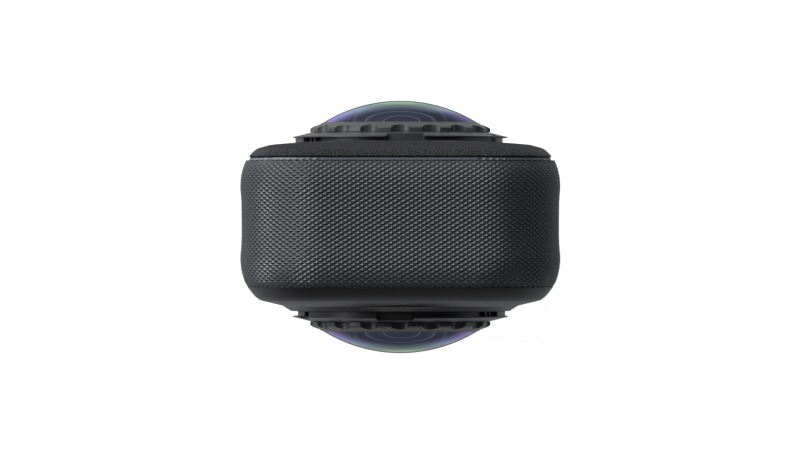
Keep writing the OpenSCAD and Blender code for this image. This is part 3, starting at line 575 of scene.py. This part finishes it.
def merged_copy(node, name):
    """A copy of a CAD node with its loose triangles joined into one skin"""
    source = NODES[node]
    piece = bpy.data.objects.new(name, source.data.copy())
    bpy.context.scene.collection.objects.link(piece)
    with editing(piece):
        bpy.ops.mesh.remove_doubles(threshold=WELD)
    return piece


def finish_piece(piece, body, material, slot, *nodes):
    """Gives a piece its material and its body, and hides the CAD nodes that it stands for; the slot is not
    used
    """
    piece.data.materials.clear()
    piece.data.materials.append(material)
    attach(piece, body)
    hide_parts(*nodes)


def paint(material, *nodes):
    """Gives CAD nodes a material"""
    for node in nodes:
        mesh = NODES[node].data
        mesh.materials.clear()
        mesh.materials.append(material)


def soften(*nodes):
    """Joins and smooths the look of CAD nodes with modifiers, and leaves their sharp edges sharp"""
    for node in nodes:
        piece = NODES[node]
        for face in piece.data.polygons:
            face.use_smooth = True
        weld = piece.modifiers.new("Weld", "WELD")
        weld.merge_threshold = WELD
        split = piece.modifiers.new("Edge Split", "EDGE_SPLIT")
        split.split_angle = SOFT_ANGLE


class BandOutline:
    """The band's outline, read from the CAD band: corner centres and how far out it is at each depth"""
    top_layer = 3 * MM
    near = 0.01 * MM

    def __init__(self):
        low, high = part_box("grip_band")
        self.radius = BAND_CORNER
        self.side_x = high.x - self.radius
        self.run_z = (high.z - low.z) / 2 - self.radius
        self.middle_z = (high.z + low.z) / 2
        self.low_y, self.high_y = low.y, high.y
        self.perimeter = 4 * (self.side_x + self.run_z) + 2 * math.pi * self.radius
        top = {}
        for vertex in NODES["grip_band"].data.vertices:
            x, y, z = vertex.co
            if z > high.z - self.top_layer and abs(abs(x) - self.side_x) < self.near:
                key = round(y / MM, 3)
                top[key] = max(top.get(key, 0.0), z)
        self.rows = sorted((y * MM, z) for y, z in top.items())

    def out(self, depth):
        """Distance of the outline from the corner centres at a depth"""
        centre = self.middle_z + self.run_z
        rows = self.rows
        if depth <= rows[0][0]:
            return rows[0][1] - centre
        for (y0, z0), (y1, z1) in zip(rows, rows[1:]):
            if depth <= y1:
                return z0 + (z1 - z0) * (depth - y0) / max(y1 - y0, 1e-9) - centre
        return rows[-1][1] - centre

    def point(self, along, depth, height):
        """The place at a distance round the band from the middle of its top, a depth and a height off it"""
        side, top = self.side_x, self.run_z
        starts = ((0, top), (side, top), (side, -top), (-side, -top), (-side, top))
        straights = (side, 2 * top, 2 * side, 2 * top, 2 * side)
        quarter = math.pi / 2 * self.radius
        along = along % self.perimeter
        turn, bend = 0, 0.0
        while along > straights[turn] and not bend:
            along -= straights[turn]
            if along <= quarter:
                bend = along / self.radius
            else:
                along -= quarter
                turn += 1
        angle = turn * math.pi / 2 + bend
        x, z = starts[turn + 1 if bend else turn]
        place = Vector((x, 0, z))
        if not bend:
            place += Vector((math.cos(angle), 0, -math.sin(angle))) * along
        place += Vector((math.sin(angle), 0, math.cos(angle))) * (self.out(depth) + height)
        return Vector((place.x, depth, place.z + self.middle_z))


def pyramid_sheet(sizes, pitch, rows, columns):
    """A flat sheet of small four-sided pyramids"""
    clear_selection()
    bpy.ops.mesh.primitive_plane_add(size=1.0)
    sheet = bpy.context.object
    with editing(sheet):
        bpy.ops.transform.rotate(value=math.pi / 4, orient_axis="Z", center_override=(0, 0, 0))
        bpy.ops.transform.resize(
            value=(pitch / math.sqrt(2), sizes.rise / math.sqrt(2), 1.0), center_override=(0, 0, 0))
        bpy.ops.mesh.poke(offset=sizes.depth)
    for step, count in (
            ((pitch / 2, sizes.rise / 2, 0), 2), ((0, sizes.rise, 0), rows), ((pitch, 0, 0), columns)):
        apply(sheet, "ARRAY", count=count, use_relative_offset=False, use_constant_offset=True,
              constant_offset_displace=step, use_merge_vertices=True, merge_threshold=pitch / 100)
    return sheet


def knurl_body(sizes, outline):
    """A solid inside the band's outline, with small pyramids on its sides and a smooth rim at the front"""
    columns = round(outline.perimeter / sizes.pitch)
    pitch = outline.perimeter / columns
    margin = 2 * sizes.rise
    rows = math.ceil((outline.high_y - outline.low_y + 2 * margin) / sizes.rise)
    start = (outline.high_y + outline.low_y) / 2 - (rows - 0.5) * sizes.rise / 2
    ends = (outline.low_y - margin / 2, outline.high_y + margin / 2)
    body = pyramid_sheet(sizes, pitch, rows, columns)
    with editing(body):
        bpy.ops.transform.translate(value=(0, start, 0))
        for end, side in zip(ends, (-1, 1)):
            bpy.ops.mesh.select_all(action="SELECT")
            bpy.ops.mesh.bisect(
                plane_co=(0, end, 0), plane_no=(0, side, 0), clear_outer=True, threshold=CUT)
    for vertex in body.data.vertices:
        along, depth, height = vertex.co
        vertex.co = outline.point(along, depth, height - sizes.depth - sizes.inset)
    with editing(body):
        bpy.ops.mesh.remove_doubles(threshold=pitch / 100)
    for end in ends:
        pick_edges(body, lambda place: abs(place.y - end) < TOUCH)
        with editing(body, everything=False):
            bpy.ops.mesh.edge_face_add()
    with editing(body):
        bpy.ops.mesh.normals_make_consistent(inside=False)

    clear_selection()
    reach = 4 * outline.radius + 2 * outline.run_z
    bpy.ops.mesh.primitive_cube_add(size=reach)
    block = bpy.context.object
    with editing(block):
        bpy.ops.transform.translate(value=(0, outline.high_y - sizes.rim + reach / 2, outline.middle_z))
    apply(body, "BOOLEAN", operation="UNION", solver="MANIFOLD", object=block)
    bpy.data.objects.remove(block)
    return body


class CAMERA_OT_knurled_parts(bpy.types.Operator):
    """Cuts the pattern of small pyramids into the grip band and the two doors"""
    bl_idname = "camera360.knurled_parts"
    bl_label = "Knurled Parts"

    def execute(self, context):
        scene = context.scene
        outline = BandOutline()
        tool = knurl_body(scene.knurl, outline)
        material = knurl_finish(scene.colours.band, outline.high_y / MM, scene.knurl.rim / MM)
        for node, name, body in (("grip_band", "knurled_band", "camera_body"),
                                 ("battery_cover", "knurled_battery_cover", "battery"),
                                 ("usb_door", "knurled_port_door", "port_door")):
            piece = merged_copy(node, name)
            apply(piece, "BOOLEAN", operation="INTERSECT", solver="MANIFOLD", object=tool)
            if len(piece.data.polygons) < FEWEST_FACES:
                raise RuntimeError(f"{name} came out empty")
            bpy.ops.object.shade_flat()
            finish_piece(piece, body, material, "band_knurl", node)
        bpy.data.objects.remove(tool)
        return {"FINISHED"}


class CAMERA_OT_lens_glass(bpy.types.Operator):
    """Makes the two coated domes"""
    bl_idname = "camera360.lens_glass"
    bl_label = "Lens Glass"

    def execute(self, context):
        sizes = context.scene.lens_sizes
        for side, body, facing in (("front", "front_lens_cap", 1), ("rear", "rear_lens_cap", -1)):
            low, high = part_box(side + "_dome")
            foot, apex = sorted((abs(low.y), abs(high.y)))
            wall_r = (high.x - low.x) / 2
            centre = (low + high) / 2
            centre.y = facing * (apex - sizes.dome_radius)
            rim = abs(centre.y + facing * math.sqrt(sizes.dome_radius ** 2 - wall_r ** 2))
            clear_selection()
            bpy.ops.mesh.primitive_uv_sphere_add(
                segments=sizes.segments, ring_count=sizes.segments, radius=sizes.dome_radius)
            dome = context.object
            dome.name = side + "_glass_dome"
            dome.data.name = dome.name
            with editing(dome):
                bpy.ops.transform.rotate(value=math.pi / 2, orient_axis="X", center_override=(0, 0, 0))
                bpy.ops.transform.translate(value=centre)
                bpy.ops.mesh.bisect(
                    plane_co=(0, facing * rim, 0), plane_no=(0, -facing, 0), clear_outer=True)
            pick_edges(dome, lambda place: abs(abs(place.y) - rim) < TOUCH)
            with editing(dome, everything=False):
                bpy.ops.mesh.extrude_region_move(
                    TRANSFORM_OT_translate={"value": (0, facing * (foot - rim), 0)})
                bpy.ops.mesh.select_all(action="SELECT")
                bpy.ops.mesh.normals_make_consistent(inside=False)
            apply(dome, "SOLIDIFY", thickness=sizes.dome_wall, offset=-1.0, use_even_offset=True)
            bpy.ops.object.shade_smooth_by_angle(angle=DOME_ANGLE)
            material = dome_finish(context.scene.colours, apex / MM, rim / MM)
            finish_piece(dome, body, material, "dome_glass", side + "_dome")
        return {"FINISHED"}


class CAMERA_OT_finishes(bpy.types.Operator):
    """Gives every other part its finish"""
    bl_idname = "camera360.finishes"
    bl_label = "Finishes"

    def execute(self, context):
        colours = context.scene.colours
        low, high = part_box("front_lens_ring")
        lens_z = (low.z + high.z) / 2 / MM
        mount = satin_finish("lens mount", colours.mount, roughness=0.40)
        ring = satin_finish("twist ring", colours.ring, roughness=0.38)
        button = satin_finish("button", (0.028, 0.028, 0.030), grain=0.16, depth=0.008, roughness=0.38)
        alloy = satin_finish("frame alloy", (0.16, 0.16, 0.165), grain=0.2, depth=0.01, roughness=0.45)
        steel = steel_finish("fastener steel", (0.55, 0.55, 0.56), (1.0, 6.0, 1.0))
        plate = satin_finish("base plate", (0.035, 0.035, 0.037), grain=0.14, depth=0.01, roughness=0.42)
        speaker = satin_finish("speaker mesh", (0.012, 0.012, 0.013), grain=0.3, depth=0.05, roughness=0.7)
        gold = steel_finish("contact gold", (0.85, 0.60, 0.22), (1.0, 1.0, 5.0), 0.22)
        copper = steel_finish("copper sheet", (0.80, 0.42, 0.26), (1.0, 1.0, 5.0), 0.3)
        painted = (
            (alloy, "centre_frame", "lens_bulkhead"),
            (grain_finish(colours.front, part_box("front_cover")[0].y / MM), "front_cover"),
            (satin_finish("rear cover", colours.rear, grain=0.13, depth=0.008, roughness=0.42), "rear_cover"),
            (rubber_finish(), "front_cover_seal", "rear_cover_seal", "front_lens_seal", "rear_lens_seal",
             "battery_cover_seal", "usb_door_seal"),
            (mount, "front_lens_mount", "rear_lens_mount"),
            (ring, "front_lens_ring", "rear_lens_ring"),
            (element_finish(lens_z), "front_lens_elements", "rear_lens_elements"),
            (groove_finish(lens_z), "front_lens_barrel", "rear_lens_barrel"),
            (steel, "front_mount_screws", "rear_mount_screws", "board_screws", "usb_door_pin", "usb_port",
             "shield_can", "antenna"),
            (sensor_finish(), "front_image_sensor", "rear_image_sensor"),
            (board_finish(), "front_sensor_board", "rear_sensor_board", "main_board", "usb_board",
             "side_button_board"),
            (flex_finish(), "sensor_flexes", "display_flex"),
            (display_finish(*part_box("screen_glass"), 1.3), "screen_glass"),
            (screen_finish("display panel", (0.015, 0.017, 0.026)), "display_panel", "display_backing"),
            (chip_finish(), "processor_chip", "memory_chips", "memory_card", "card_socket", "microphones",
             "button_switches"),
            (copper, "heat_spreader"),
            (battery_finish(), "battery_pack"),
            (gold, "battery_contacts"),
            (button, "power_button", "quick_button", "shutter_button", "menu_button", "battery_latch"),
            (plate, "base_plate"),
            (thread_finish(), "tripod_bush"),
            (speaker, "speaker"),
            (light_finish(), "status_lights"),
        )
        for material, *nodes in painted:
            paint(material, *nodes)
        soften("front_cover", "rear_cover", "front_lens_mount", "rear_lens_mount", "front_lens_ring",
               "rear_lens_ring", "front_lens_elements", "rear_lens_elements", "front_lens_barrel",
               "rear_lens_barrel", "screen_glass", "power_button", "quick_button", "shutter_button",
               "menu_button", "battery_latch", "base_plate", "tripod_bush")
        return {"FINISHED"}


class CAMERA_OT_stage(bpy.types.Operator):
    """Adds the floor, the soft lights and the camera"""
    bl_idname = "camera360.stage"
    bl_label = "Stage"

    def execute(self, context):
        scene = context.scene
        sizes = scene.stage_sizes
        scene.view_settings.view_transform = "Standard"
        clear_selection()
        bpy.ops.mesh.primitive_plane_add(size=sizes.floor)
        floor = context.object
        floor.name = "floor"
        f = Finish("pale floor", roughness=0.9, emission_strength=0.97)
        cloud = f.noise(size=400.0)
        seen = f.node("ShaderNodeLightPath", out=0)
        bright = f.mix(cloud, (0.98, 0.98, 0.98), (1.0, 1.0, 1.0))
        f.feed(base_color=f.mix(cloud, (0.24, 0.24, 0.24), (0.26, 0.26, 0.26)),
               emission_color=f.mix(seen, (0.30, 0.31, 0.325), bright))
        floor.data.materials.append(f.material)

        world = bpy.data.worlds.new("studio")
        scene.world = world
        world.use_nodes = True
        tree = world.node_tree
        tree.nodes.clear()
        path = tree.nodes.new("ShaderNodeLightPath")
        dim = tree.nodes.new("ShaderNodeBackground")
        dim.inputs[0].default_value = (0.95, 0.97, 1.0, 1.0)
        dim.inputs[1].default_value = 0.10
        pale = tree.nodes.new("ShaderNodeBackground")
        pale.inputs[0].default_value = (0.94, 0.94, 0.94, 1.0)
        blend = tree.nodes.new("ShaderNodeMixShader")
        out = tree.nodes.new("ShaderNodeOutputWorld")
        tree.links.new(path.outputs["Is Camera Ray"], blend.inputs[0])
        tree.links.new(dim.outputs[0], blend.inputs[1])
        tree.links.new(pale.outputs[0], blend.inputs[2])
        tree.links.new(blend.outputs[0], out.inputs[0])

        for name, place, width, share in LIGHTS:
            data = bpy.data.lights.new(name, "AREA")
            data.shape = "DISK"
            data.size = width
            data.energy = sizes.key * share
            lamp = bpy.data.objects.new(name, data)
            lamp.location = place
            lamp.rotation_mode = "QUATERNION"
            lamp.rotation_quaternion = (Vector(LIT_POINT) - Vector(place)).to_track_quat("-Z", "Y")
            scene.collection.objects.link(lamp)

        data = bpy.data.cameras.new("camera")
        data.lens = sizes.lens
        data.sensor_width = 36.0
        data.clip_start = 0.01
        data.clip_end = 100.0
        camera = bpy.data.objects.new("camera", data)
        camera.location = (*CAMERA_PLACE, sizes.camera_height)
        scene.collection.objects.link(camera)
        scene.camera = camera
        return {"FINISHED"}


class CAMERA_PT_panel(bpy.types.Panel):
    """The camera's sizes, colours and steps"""
    bl_label = "Pocket 360 Camera"
    bl_idname = "CAMERA_PT_panel"
    bl_space_type = "VIEW_3D"
    bl_region_type = "UI"
    bl_category = "360 Camera"

    def draw(self, context):
        layout = self.layout
        for group in (context.scene.knurl, context.scene.lens_sizes, context.scene.colours,
                      context.scene.stage_sizes):
            box = layout.box()
            for name in group.__annotations__:
                box.prop(group, name)
        for operator in OPERATORS:
            layout.operator(operator.bl_idname)


GROUPS = {"knurl": KnurlSizes, "lens_sizes": LensSizes, "colours": Colours, "stage_sizes": StageSizes}
OPERATORS = (CAMERA_OT_knurled_parts, CAMERA_OT_lens_glass, CAMERA_OT_finishes, CAMERA_OT_stage)
CLASSES = (*GROUPS.values(), *OPERATORS, CAMERA_PT_panel)


def register():
    for cls in CLASSES:
        bpy.utils.register_class(cls)
    for name, group in GROUPS.items():
        setattr(bpy.types.Scene, name, PointerProperty(type=group))


def unregister():
    for name in GROUPS:
        delattr(bpy.types.Scene, name)
    for cls in reversed(CLASSES):
        bpy.utils.unregister_class(cls)


def main():
    register()
    bpy.ops.camera360.knurled_parts()
    bpy.ops.camera360.lens_glass()
    bpy.ops.camera360.finishes()
    bpy.ops.camera360.stage()


if __name__ == "__main__":
    main()
